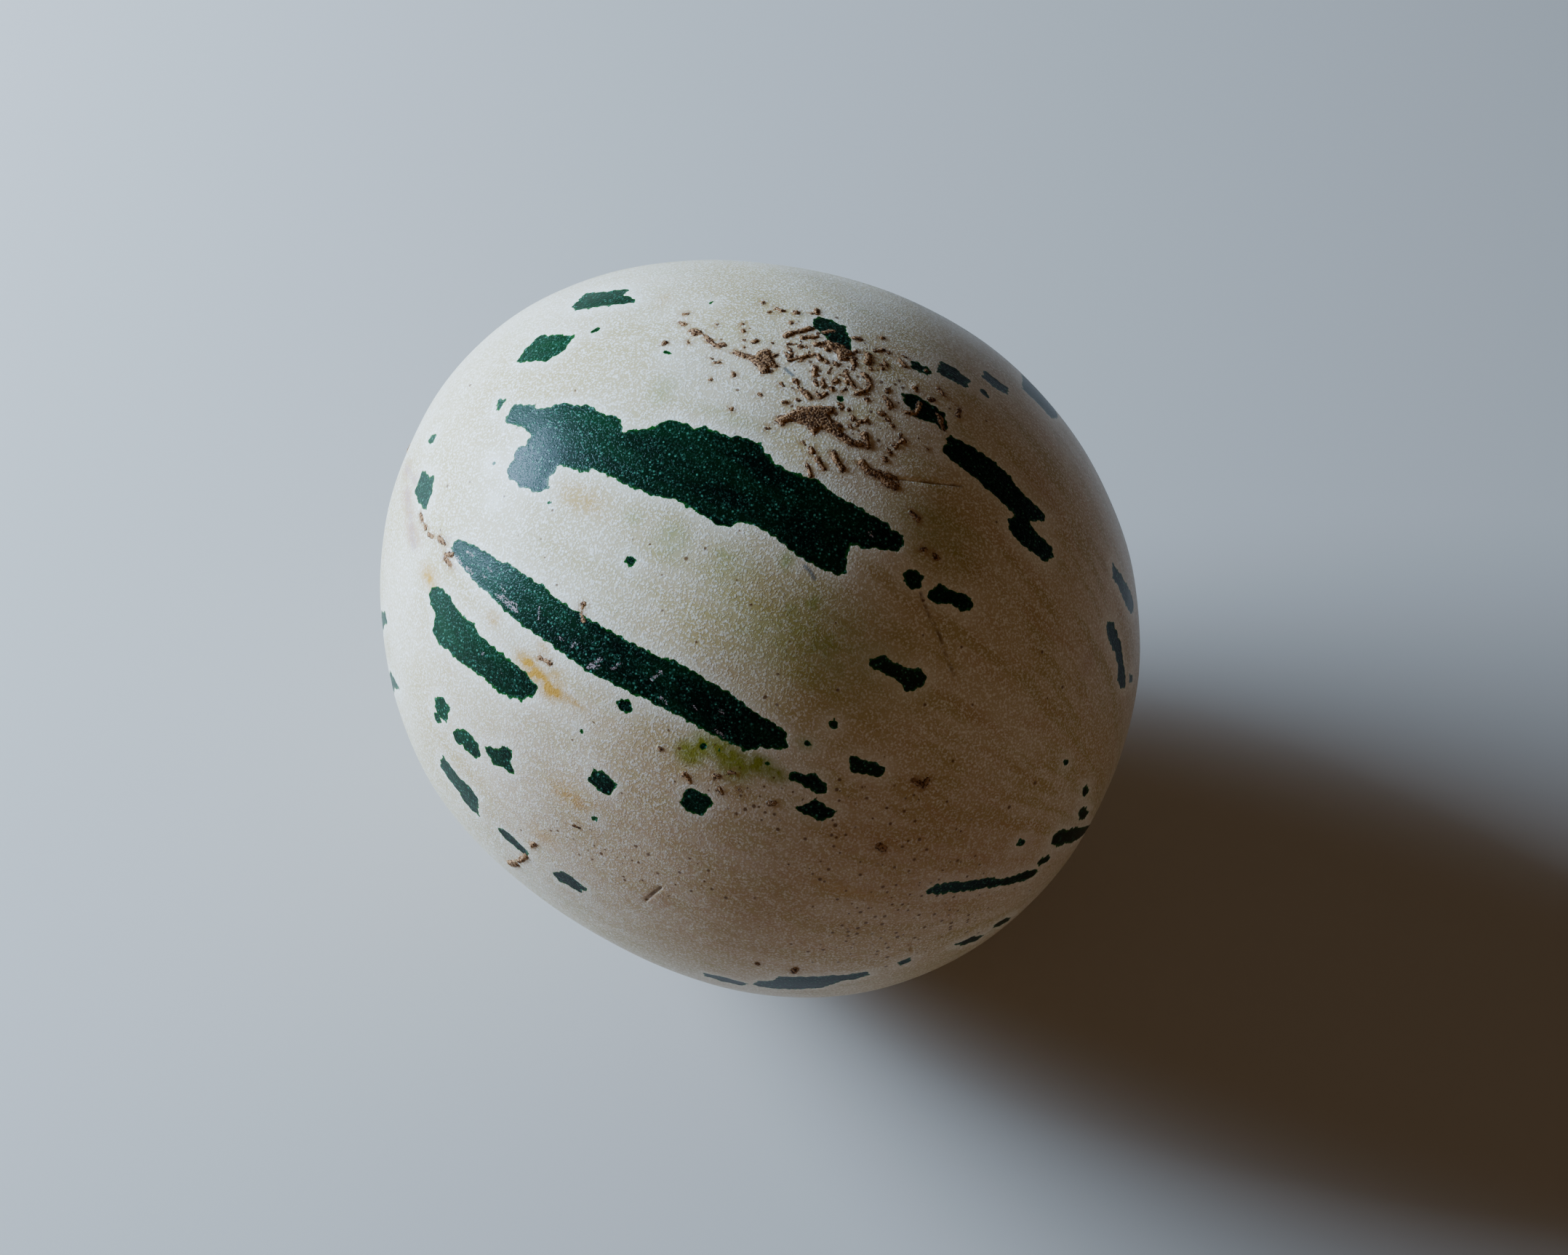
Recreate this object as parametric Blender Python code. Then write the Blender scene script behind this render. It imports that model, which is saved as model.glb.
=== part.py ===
"""A small white melon with green flecks, one solid, lying on a small flat spot.

The fruit is built round its core, the line from the stem end to the blossom end, with +X at the
blossom end and +Y at the fuller side. It is then laid down as it rests, and the spot it rests on
is cut flat.
"""

import math

import bmesh
import bpy
from mathutils import Matrix, Vector

# Overall sizes, in metres.
LENGTH = 0.148          # along the core, from the stem end to the blossom end
WIDTH = 0.1345          # across the core at the middle

# How the fruit differs from a plain oval, in metres.
FULL_SIDE = 0.0035      # one side of the core has grown out further than the other
LEAN = 0.0009           # the fuller side's bulge sits nearer to the stem end
BLUNT_END = 0.0006      # the blossom end is broader than the stem end
SHOULDERS = 0.0004      # the ends are a little square
UNEVEN = 0.0005         # the shoulders of the fuller side aren't alike
RIPPLE = 0.0003         # a last slow wave along the fuller side

# The hollows where the stem and the flower came off.
STEM_HOLLOW_RADIUS = 0.0055
STEM_HOLLOW_DEPTH = 0.0011
BLOSSOM_HOLLOW_RADIUS = 0.0045
BLOSSOM_HOLLOW_DEPTH = 0.0008

# How it lies.
REST_RADIUS = 0.0125    # of the flat spot
CORE_TILT = math.radians(13.4)       # the blossom end points down by this
FULL_SIDE_LIFT = math.radians(27)    # the fuller side points to +Y and up by this

# How finely the skin is divided.
SPHERE_STEPS = 5
END_CAP = math.radians(14)           # within this of an end, the skin is divided once more
SNAP = 0.0006           # points this near to the flat spot's plane are moved onto it


def hollow(distance, radius, depth):
    """The depth of a soft round hollow at this distance from its middle."""
    return depth * math.exp(-((distance / radius) ** 2))


def skin_radius(direction):
    """How far the skin is from the middle of the core, in a unit direction."""
    angle = math.acos(max(-1.0, min(1.0, direction.x)))
    across = math.sin(angle)
    side = direction.y / across if across > 1e-6 else 0.0
    mean = (LENGTH + WIDTH) / 4
    oval = (LENGTH - WIDTH) / 4
    radius = mean + oval * math.cos(2 * angle)
    radius -= BLUNT_END * math.cos(3 * angle)
    radius -= SHOULDERS * math.cos(4 * angle)
    wave = FULL_SIDE * math.sin(angle)
    wave -= LEAN * math.sin(2 * angle)
    wave -= UNEVEN * math.sin(4 * angle)
    wave += RIPPLE * math.sin(5 * angle)
    radius += wave * side
    radius -= hollow(radius * (math.pi - angle), STEM_HOLLOW_RADIUS, STEM_HOLLOW_DEPTH)
    radius -= hollow(radius * angle, BLOSSOM_HOLLOW_RADIUS, BLOSSOM_HOLLOW_DEPTH)
    return radius


def divided_ball():
    """A ball of even triangles, divided once more round the two ends of the core."""
    mesh = bmesh.new()
    bmesh.ops.create_icosphere(mesh, subdivisions=SPHERE_STEPS, radius=1.0)
    near = math.cos(END_CAP)
    at_ends = [e for e in mesh.edges if all(abs(v.co.x) > near for v in e.verts)]
    bmesh.ops.subdivide_edges(mesh, edges=at_ends, cuts=1, use_grid_fill=True)
    bmesh.ops.triangulate(mesh, faces=mesh.faces[:])
    return mesh


def grow(mesh):
    """Moves each point of the ball out to the skin."""
    for vert in mesh.verts:
        direction = vert.co.normalized()
        vert.co = direction * skin_radius(direction)


def lay_down(mesh):
    """Turns the fruit as it lies, and brings the plane of its flat spot to z = 0."""
    roll = Matrix.Rotation(FULL_SIDE_LIFT, 4, "X")
    tip = Matrix.Rotation(CORE_TILT, 4, "Y")
    bmesh.ops.transform(mesh, matrix=tip @ roll, verts=mesh.verts[:])
    lowest = min(vert.co.z for vert in mesh.verts)
    slice_depth = REST_RADIUS**2 / WIDTH
    drop = Vector((0, 0, -lowest - slice_depth))
    bmesh.ops.translate(mesh, vec=drop, verts=mesh.verts[:])


def cut_flat_spot(mesh):
    """Slices off what is below z = 0 and closes the cut with one flat face."""
    for vert in mesh.verts:
        if abs(vert.co.z) < SNAP:
            vert.co.z = 0.0
    everything = mesh.verts[:] + mesh.edges[:] + mesh.faces[:]
    bmesh.ops.bisect_plane(
        mesh, geom=everything, dist=1e-7, plane_co=(0, 0, 0), plane_no=(0, 0, 1), clear_inner=True
    )
    rim = [edge for edge in mesh.edges if edge.is_boundary]
    bmesh.ops.holes_fill(mesh, edges=rim, sides=len(rim))
    bmesh.ops.triangulate(mesh, faces=mesh.faces[:])


def centre(mesh):
    """Puts the middle of the outline, seen from above, over the origin."""
    xs = [vert.co.x for vert in mesh.verts]
    ys = [vert.co.y for vert in mesh.verts]
    shift = Vector((-(min(xs) + max(xs)) / 2, -(min(ys) + max(ys)) / 2, 0))
    bmesh.ops.translate(mesh, vec=shift, verts=mesh.verts[:])


def print_flat_spot(mesh):
    """Says where the flat spot is, which the record's mount repeats."""
    spot = [face for face in mesh.faces if max(abs(v.co.z) for v in face.verts) < 1e-6]
    area = sum(face.calc_area() for face in spot)
    middle = sum((face.calc_center_median() * face.calc_area() for face in spot), Vector()) / area
    radius = math.sqrt(area / math.pi)
    print(f"flat spot: middle {middle.x:.4f}, {middle.y:.4f}, mean radius {radius * 1000:.1f} mm")


def rind_material():
    """Pale waxy rind."""
    material = bpy.data.materials.new("rind")
    material.use_nodes = True
    shader = material.node_tree.nodes["Principled BSDF"]
    shader.inputs["Base Color"].default_value = (0.78, 0.75, 0.62, 1)
    shader.inputs["Roughness"].default_value = 0.4
    shader.inputs["Metallic"].default_value = 0.0
    material.diffuse_color = (0.78, 0.75, 0.62, 1)
    return material


def make_melon():
    mesh = divided_ball()
    grow(mesh)
    lay_down(mesh)
    cut_flat_spot(mesh)
    centre(mesh)
    bmesh.ops.recalc_face_normals(mesh, faces=mesh.faces[:])
    print_flat_spot(mesh)
    print(f"volume {mesh.calc_volume() * 1e6:.0f} cm3, {len(mesh.faces)} triangles")
    data = bpy.data.meshes.new("melon")
    mesh.to_mesh(data)
    mesh.free()
    data.shade_smooth()
    data.set_sharp_from_angle(angle=math.radians(30))
    data.materials.append(rind_material())
    melon = bpy.data.objects.new("melon", data)
    bpy.context.scene.collection.objects.link(melon)
    return melon


for old in list(bpy.data.objects):
    bpy.data.objects.remove(old, do_unlink=True)
make_melon()
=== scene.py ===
# %% [markdown]
# # A small white melon with green flecks
#
# The real thing is one fruit about 15 cm long. Its rind is ivory and waxy, full of fine pale
# dots, with crisp blocky flecks of dark green that run along it from the stem end to the
# blossom end. Wind and leaves have rubbed it, so it has raised brown scabs, thin cracks and
# scratches. It could be modelled as a ball with a painted picture, but a picture blurs up
# close. Here the marks are real shapes: each has an outline or a line on the skin, the mesh
# is divided finely where the marks are, and the material only adds what is smaller than that.

import math

import bmesh
import bpy
import numpy as np
from mathutils import Matrix, Vector


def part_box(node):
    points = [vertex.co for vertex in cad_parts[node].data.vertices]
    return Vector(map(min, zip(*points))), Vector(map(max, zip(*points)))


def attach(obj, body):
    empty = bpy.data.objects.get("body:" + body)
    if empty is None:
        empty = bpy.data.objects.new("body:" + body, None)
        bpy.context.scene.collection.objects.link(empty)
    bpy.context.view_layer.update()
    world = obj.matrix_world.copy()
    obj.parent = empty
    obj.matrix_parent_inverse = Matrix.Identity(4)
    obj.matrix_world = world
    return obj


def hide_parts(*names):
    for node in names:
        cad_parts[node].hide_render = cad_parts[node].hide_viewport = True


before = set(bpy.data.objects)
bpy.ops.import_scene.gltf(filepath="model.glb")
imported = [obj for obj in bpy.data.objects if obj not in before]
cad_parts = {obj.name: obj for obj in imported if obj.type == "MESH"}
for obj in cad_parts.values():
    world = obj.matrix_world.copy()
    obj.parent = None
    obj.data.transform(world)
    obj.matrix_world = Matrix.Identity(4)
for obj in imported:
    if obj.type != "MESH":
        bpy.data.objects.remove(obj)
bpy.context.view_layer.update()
low, high = (Vector(corner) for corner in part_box("melon"))
print("the solid melon, mm:", [round(side * 1000, 1) for side in high - low])

# %% [markdown]
# ## Finding one's way on a fruit
#
# Everything on a melon follows its core, the line from the stem end to the blossom end. So
# each mark is placed as on a globe: *along* is 0 degrees at the stem end and 180 at the
# blossom end, and *around* is counted from the fuller side, over the top, and on underneath.
# One degree is about 1.2 mm at the widest part, so the numbers can be read as millimetres.

# %% The core's own directions
CORE_TILT = math.radians(13.4)        # the blossom end points down by this
FULL_SIDE_LIFT = math.radians(27)     # the fuller side is turned up by this
MIDDLE_SHARE = (0.5016, 0.4748, 0.4882)   # where the core's middle is in the solid's box

middle = Vector([low[i] + MIDDLE_SHARE[i] * (high[i] - low[i]) for i in range(3)])
lie = Matrix.Rotation(CORE_TILT, 3, "Y") @ Matrix.Rotation(FULL_SIDE_LIFT, 3, "X")
LIE = np.array(lie)                   # turns the core's directions into the frame's
MM = 0.001
MEAN_RADIUS_MM = 70.6
MM_PER_DEGREE = MEAN_RADIUS_MM * math.pi / 180


def place_on_globe(directions):
    """How far along and around each unit direction points, in degrees."""
    own = directions @ LIE
    along = 180 - np.degrees(np.arccos(np.clip(own[:, 0], -1, 1)))
    around = np.degrees(np.arctan2(own[:, 2], own[:, 1])) % 360
    return along, around


print("the core's middle is", round(middle.z * 1000, 1), "mm above the table")

# %% [markdown]
# ## The smooth shape
#
# The solid is made of flat triangles a few millimetres wide, which a close look would show.
# Its form is simple, though, so it can be read back as a smooth one: the distance from the
# middle to the skin is a sum of slow waves, and least squares finds how much there is of
# each from the solid's own corners. The small flat spot and the two hollows at the ends are
# left out of the sum and made again afterwards, finer.

# %% Read the smooth form from the solid
FLAT_SPOT_SKIP = 0.0004               # corners lower than this belong to the flat spot
END_SKIP = 13                         # degrees round each end that the hollows disturb


def waves(directions):
    """Products of x, y and z of the fifth and sixth degree: every slow wave on a ball."""
    x, y, z = directions.T
    columns = []
    for degree in (5, 6):
        for i in range(degree + 1):
            for j in range(degree + 1 - i):
                columns.append(x**i * y**j * z ** (degree - i - j))
    return np.stack(columns, axis=1)


def read_form(solid):
    corners = np.empty(len(solid.data.vertices) * 3)
    solid.data.vertices.foreach_get("co", corners)
    corners = np.unique(np.round(corners.reshape(-1, 3), 6), axis=0)
    from_middle = corners - np.array(middle)
    radius = np.linalg.norm(from_middle, axis=1)
    directions = from_middle / radius[:, None]
    along, _ = place_on_globe(directions)
    plain = (corners[:, 2] > FLAT_SPOT_SKIP) & (along > END_SKIP) & (along < 180 - END_SKIP)
    shares, *_ = np.linalg.lstsq(waves(directions[plain]), radius[plain], rcond=None)
    worst = np.abs(waves(directions[plain]) @ shares - radius[plain]).max()
    print(f"smooth form read from {plain.sum()} corners, at most {worst * 1000:.3f} mm off")
    return shares


form = read_form(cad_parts["melon"])

# %% [markdown]
# ## The green flecks
#
# The flecks are patches where the skin stayed green. Each grew cell by cell between the
# pale dots, so its outline has corners and steps and no smooth curve. The widest ones are
# streaks that run along the fruit. Each is written as the corners of its outline, in
# degrees along and around, with only the corners that its shape needs.

# %% Long streaks
streaks = {
    "wide": [
        (38.2, 67), (42, 66.9), (42.5, 67.6), (45, 67.2), (46, 66), (48, 65.2), (49, 65.9),
        (51, 65.1), (54, 66.2), (57, 66.3), (57.9, 68), (58.4, 68.8), (59.6, 67.6), (62.5, 66.2),
        (63.5, 64.4), (65, 63.7), (68, 64), (69.5, 63.2), (73.5, 63.4), (75, 62.5), (78, 62.4),
        (79.5, 63.6), (82, 64.6), (86, 64.5), (88, 64), (90, 64.6), (95, 64.9), (99, 64.8),
        (102.5, 65.5), (103.6, 66.6), (103, 67.8), (101, 68.6), (99, 69.8), (96.5, 70.4),
        (96.6, 72), (97.8, 74.6), (97.2, 75.6), (92, 75.8), (89, 75.4), (86, 74.6), (83, 74.5),
        (80.2, 75.2), (80, 76.4), (78, 76.9), (74, 76.3), (70.5, 76), (68, 76.7), (62, 76.9),
        (60, 76.4), (56.5, 76.4), (55.5, 77.6), (51.3, 77.6), (50.8, 79.5), (50.6, 81.5),
        (51.2, 82.6), (50.6, 83.8), (46.8, 84.3), (43.8, 83.4), (42.8, 82), (43.2, 79.5),
        (42.8, 77), (44.3, 76), (44.4, 73.8), (43, 72.6), (41, 72), (38.5, 72), (38, 70),
    ],
    "long": [
        (38.8, 102), (39.6, 100.7), (42, 100), (45, 99.5), (48, 99.3), (51, 98.7), (55, 98.8),
        (58, 98.6), (60, 99.2), (66, 99.3), (72, 99.3), (78, 99), (82, 98.3), (86, 98.5),
        (91, 98.7), (95, 99.4), (99, 99.8), (101.5, 100), (101.6, 101), (102.4, 101.9),
        (101.3, 103), (98.8, 103.8), (97.2, 105.4), (90, 105.5), (86, 105.3), (80, 105.8),
        (75, 106.2), (70, 106.8), (65, 106.4), (60, 106.5), (57.5, 106.6), (54, 106.4), (50, 105.8),
        (46, 105.7), (43, 105.2), (40, 104.6), (38.8, 103.6),
    ],
    "short": [
        (38.2, 115.2), (39.2, 113.2), (41.5, 113), (42.6, 112.4), (44, 113.6), (47, 113.8),
        (49.2, 112.9), (50.4, 114), (55, 113.9), (58, 113.8), (62, 114), (64, 114.8), (63.8, 116.4),
        (62.4, 118.6), (60, 119.8), (57.5, 120.6), (54, 120.6), (52, 121.4), (48, 122.6),
        (46, 122.8), (44, 124), (42, 123), (41.6, 120.8), (41, 119), (39.4, 118.4), (38.2, 117),
    ],
    "far": [
        (102, 47.6), (102.6, 46.8), (101.8, 46), (102.4, 45), (106, 44.4), (109, 44), (113, 44.2),
        (116, 45.1), (118.5, 44.6), (120.6, 44.6), (120.8, 45.6), (119.4, 47.4), (118.8, 48.6),
        (120, 49.2), (124, 48.8), (124.8, 49.6), (124, 52), (121, 52.9), (118.5, 53.3),
        (116.5, 52.6), (115.8, 51.4), (116.8, 49.8), (115.5, 49.4), (112, 49.3), (106, 49),
        (102.4, 48.5),
    ],
    "low": [
        (133.4, 119.8), (134.6, 118.2), (137, 117.2), (140, 116.4), (144, 116), (147, 116.6),
        (149, 116.4), (152, 115), (154.6, 115.6), (156, 117.2), (155, 119.2), (151, 119),
        (148, 118.8), (144, 118.9), (140, 119.2), (137, 120), (134.4, 120.2),
    ],
    "under": [
        (116.6, 161.4), (117, 158.4), (119, 157), (119.6, 154), (123, 152.6), (127, 151.2),
        (130, 150.6), (132.4, 149.6), (133.2, 151.4), (132, 153.6), (129.4, 154.6), (128, 157.4),
        (127, 159.6), (123, 161.2), (119, 162.4),
    ],
    "blossom": [
        (154.2, 102), (155.6, 100), (158, 99.4), (161, 98.6), (168, 98), (172, 99), (172, 107),
        (165, 106.4), (158, 106), (155, 105.2),
    ],
}
print(len(streaks), "long streaks")

# %% [markdown]
# Most flecks are small: blocks and lozenges 3 to 12 mm long, and dots of a millimetre or
# two. Blocks keep their outlines. A dot needs only its middle and its two sizes, and a
# short loop turns it into an outline of six corners.

# %% Blocks and dots
blocks = [
    [(40.2, 28), (43, 29.8), (47.2, 30.4), (47, 33), (48.6, 34.6), (49.6, 36.4), (45, 37),
     (40.4, 36.8), (39.4, 34.5), (40, 31.5)],
    [(36.4, 45.2), (40.4, 46.3), (42.8, 47.6), (42.4, 51.6), (40.2, 54.8), (39, 54.2), (36.8, 54.2),
     (34.6, 53.4), (34.8, 50), (35.4, 48)],
    [(76.4, 34.2), (77, 33), (80.8, 33.4), (81.6, 35), (82.6, 36.4), (83.4, 38.8), (83.2, 41),
     (82.4, 41.6), (81.4, 40), (80, 38.6), (78.5, 37.2), (77, 36.4)],
    [(93.2, 42.6), (95, 41.6), (99.8, 41.8), (100.4, 43), (101.4, 43.8), (100.8, 44.9),
     (99.4, 44.4), (97.6, 45.2), (96, 45.4), (95, 44.4), (94, 44)],
    [(95.8, 30.2), (99, 30), (101, 30.6), (100.8, 33), (98, 33.8), (96.2, 33.6)],
    [(92.2, 34.8), (93, 34.3), (95.3, 34.5), (95.2, 36), (92.4, 36.1)],
    [(102.4, 24), (106.6, 23.6), (107, 25.6), (105.4, 26.8), (102.6, 26.6)],
    [(136, 32.2), (138.6, 29.6), (141.4, 26.6), (143, 24), (145, 22.6), (145.8, 25), (145, 29),
     (143, 31.6), (140, 33), (137.4, 34.6)],
    [(154.4, 33), (155, 34), (153.8, 38.2), (152.8, 38)],
    [(140.6, 45), (141.8, 42.8), (145, 41.8), (148, 42.2), (150.4, 43), (152.6, 42.8),
     (152.8, 44.6), (151.6, 47.6), (149.6, 48.2), (148.4, 46.4), (146, 45.8), (143.6, 46.6),
     (141.4, 46.6)],
    [(108, 8), (115, 7), (116, 12), (115, 17), (109, 18)],
    [(67.7, 87.3), (69.2, 87.2), (69.4, 88.3), (68.8, 88.5), (67.8, 88.4)],
    [(34.5, 65.7), (35.9, 65.8), (35.9, 68.8), (35.1, 68.8)],
    [(22.4, 91.6), (27, 91.4), (28.4, 96), (28.6, 100.6), (25.6, 101.2), (22.8, 99.4), (22.2, 95)],
    [(110.2, 70.2), (110.8, 68.8), (113, 68.4), (116, 67.6), (116.8, 68.6), (116, 69.9),
     (113.4, 70.2), (111.4, 71.7), (110.2, 71.2)],
    [(107, 84.2), (108.4, 83), (112, 83), (114.4, 82), (115.8, 82.4), (115.8, 84.2), (114, 85.8),
     (112.4, 85), (109, 85), (107.4, 84.9)],
    [(111.6, 99), (117, 98.4), (117.2, 100), (115, 100.6), (113, 101.2), (112, 100.4)],
    [(104.8, 106.4), (105.4, 104.9), (107, 104.9), (108.4, 104.2), (110, 105), (111, 106.2),
     (110.4, 106.7)],
    [(108, 110.6), (109.4, 109.2), (110, 108.2), (113.6, 108.6), (113, 110.2), (112, 110.9),
     (109, 110.7)],
    [(92, 116), (92.6, 115.3), (96, 115.3), (96.5, 116), (96, 118.6), (94, 119.2), (92.2, 118.6)],
    [(77.7, 121.4), (79.6, 121), (82.1, 121.5), (81.9, 124.2), (79.8, 124.4), (77.8, 124)],
    [(60, 132.8), (62.2, 131.2), (62.6, 129.6), (64.2, 128.9), (64.8, 129.8), (64.6, 131),
     (66.2, 133), (65.6, 133.8), (64.2, 133.6), (62.6, 135.1), (61.6, 134.2), (60.4, 133.8)],
    [(53.8, 135.8), (55.8, 133.6), (58.4, 134), (59.8, 135.6), (59, 137.6), (56, 137.8),
     (54.8, 138.8), (53.8, 137.6)],
    [(47.8, 135.2), (49.2, 133.2), (51.2, 133.2), (51.6, 137), (50.2, 138), (48.4, 137.4)],
    [(53.2, 147), (58, 147), (60, 146.2), (62.2, 146.8), (62.6, 150), (63.4, 152.2), (62, 153.2),
     (59.4, 153), (58.8, 151.6), (56.4, 152.2), (53.4, 151.8)],
    [(67.4, 150.4), (68.2, 149), (70.4, 149), (73.4, 149.8), (74, 151.4), (71.6, 151.8), (69, 152)],
    [(78.8, 150.4), (80.2, 148), (82, 147.6), (85, 148.6), (84.2, 151), (80.4, 151.8)],
    [(108.6, 162), (112, 160.8), (115.6, 161.6), (115, 164), (109, 164.2)],
    [(146, 144.4), (149, 144), (151.6, 147.6), (151, 149.8), (148, 147.6)],
    [(153, 142.6), (155, 142.2), (156.6, 146), (157, 150), (155, 148), (153.4, 145)],
    [(159, 89.4), (161.4, 88), (164, 89.6), (163.6, 92.8), (161.4, 93.4), (159.6, 91.6)],
    [(25, 172), (24.6, 160), (27, 148), (29, 147), (27.5, 156), (27, 172)],
    [(33.6, 172), (34, 162), (36, 157), (38.4, 154), (37, 160), (36.5, 172)],
]
# Each dot: along, around, length and width in degrees.
dots = [
    (45.8, 45.8, 0.9, 1.5), (58.7, 50.7, 0.8, 0.6), (77.7, 108.5, 2.5, 2),
    (73.3, 116.4, 0.4, 0.4), (81.3, 130.3, 0.8, 0.6), (103.8, 30.9, 1.5, 1.4),
    (107.1, 70.3, 3, 2.8), (106.9, 95.7, 1.2, 1.4), (91.2, 107.9, 0.8, 0.9),
    (93.7, 107.5, 0.3, 0.3), (101, 105.9, 0.4, 0.4), (105, 100.2, 0.9, 0.7),
    (49.8, 138.9, 1.6, 1.8), (146.7, 104.6, 2, 2), (155.7, 112, 3.6, 3.6), (138, 146.7, 2, 3.2),
    (157.3, 82.6, 2.8, 3.4), (147, 80.4, 0.9, 1), (20.8, 78.2, 2.4, 4.6), (85.3, 49.2, 0.9, 0.9),
    (60.9, 35.6, 0.4, 0.9), (39.7, 81.9, 0.4, 0.6), (52.7, 84.9, 0.3, 0.3), (43, 89.3, 0.3, 0.3),
]


def dot_outline(along, around, length, width):
    corners = [math.radians(60 * step + 13 * along) for step in range(6)]
    return [(along + length / 2 * math.cos(a), around + width / 2 * math.sin(a)) for a in corners]


outlines = list(streaks.values()) + blocks + [dot_outline(*dot) for dot in dots]
print(len(outlines), "green marks on the near side")

# %% [markdown]
# The far side grew like the near one, so it gets flecks of the same kinds, made up by a
# seeded generator: a few long streaks, more blocks, and dots between them. A streak's two
# edges step in and out every few degrees, as the near ones do. Each new mark keeps clear
# of those that are there.

# %% The flecks of the far side
FAR_SIDE = (188, 352)                 # degrees around that the near marks leave empty
FAR_REACH = 66                        # the middles lie this near to the widest part, along
ENDS_CLEAR = (14, 168)                # degrees along that no mark passes
KEEP_CLEAR = 3.2                      # degrees between marks
MOST_TRIES = 4000                     # for marks of one kind
# Each kind: how many, then its shortest and longest length and width in degrees.
FAR_KINDS = [
    (5, (24, 60), (5, 11)), (15, (6, 14), (2.2, 4.6)), (34, (2.4, 5), (1.6, 3.6)),
    (22, (0.6, 1.6), (0.6, 1.4)),
]
chance = np.random.default_rng(31)


def stepped_outline(along, around, length, width):
    """A blocky outline whose long edges step in and out."""
    steps = max(3, int(length / 2.6))
    stations = np.linspace(along - length / 2, along + length / 2, steps)
    taper = np.sqrt(np.clip(1.08 - np.abs(np.linspace(-1, 1, steps)) ** 2.5, 0.1, 1))
    upper = around - width / 2 * taper * chance.uniform(0.7, 1.25, steps)
    lower = around + width / 2 * taper * chance.uniform(0.7, 1.25, steps)
    stations = stations + chance.uniform(-0.5, 0.5, steps)
    return list(zip(stations, upper)) + list(zip(stations[::-1], lower[::-1]))


def far_side_marks():
    taken = []
    marks = []
    for count, lengths, widths in FAR_KINDS:
        made = tries = 0
        while made < count and tries < MOST_TRIES:
            tries += 1
            length, width = chance.uniform(*lengths), chance.uniform(*widths)
            along = 90 + chance.uniform(-FAR_REACH, FAR_REACH)
            around = chance.uniform(*FAR_SIDE)
            width /= max(0.45, math.sin(math.radians(along)))   # a degree is less near the ends
            if along - length / 2 <= ENDS_CLEAR[0] or along + length / 2 >= ENDS_CLEAR[1]:
                continue
            apart = [
                max(abs(along - a) - (length + x) / 2, abs(around - b) - (width + y) / 2)
                for a, b, x, y in taken
            ]
            if apart and min(apart) < KEEP_CLEAR:
                continue
            taken.append((along, around, length, width))
            marks.append(stepped_outline(along, around, length, width))
            made += 1
    return marks


outlines += far_side_marks()
print(len(outlines), "green marks in all")

# %% [markdown]
# ## Scabs, scratches and scuffs
#
# Where the young skin was torn, the fruit healed it with cork: brown, rough and raised a
# fraction of a millimetre. The biggest scabs have an outline, like the flecks. The others
# are strokes, each a short line on the skin with a width in millimetres. Thin cracks sink
# in where scabs stand out.

# %% Raised scabs
scab_fields = [
    [(78.3, 57.6), (78.6, 56.8), (80.1, 54.9), (80.8, 53.8), (82, 53), (83.3, 51.9), (85.1, 51.2),
     (85.4, 52.1), (84.7, 52.8), (85.8, 53.6), (87.4, 53.8), (87.6, 54.6), (88.9, 55.1),
     (90.3, 54.9), (91.8, 54.8), (90.6, 55.8), (88.9, 56.1), (86.6, 55.6), (85.1, 55.4),
     (84.5, 56.1), (84.3, 57.1), (83.6, 56.7), (82.8, 56.1), (80.7, 56.4), (79.6, 57.8)],
    [(68.2, 47.2), (69.7, 47.2), (71, 47), (71.7, 45.6), (72.4, 45.1), (73.2, 45.9), (74.2, 45.1),
     (73.6, 46.5), (74.4, 47.4), (75.4, 47.5), (74.7, 48.1), (73.6, 48.3), (74, 49.4), (73.3, 49.9),
     (72.2, 49.2), (71.2, 48.4), (69.9, 47.8), (68.3, 47.6)],
    [(79.8, 39.9), (80.2, 38.8), (81.2, 38.6), (82, 39.2), (83.4, 38.9), (84, 39.6), (83.2, 40.4),
     (83.4, 41.6), (82.6, 41.9), (81.8, 40.8), (80.8, 40.2)],
]

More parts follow.
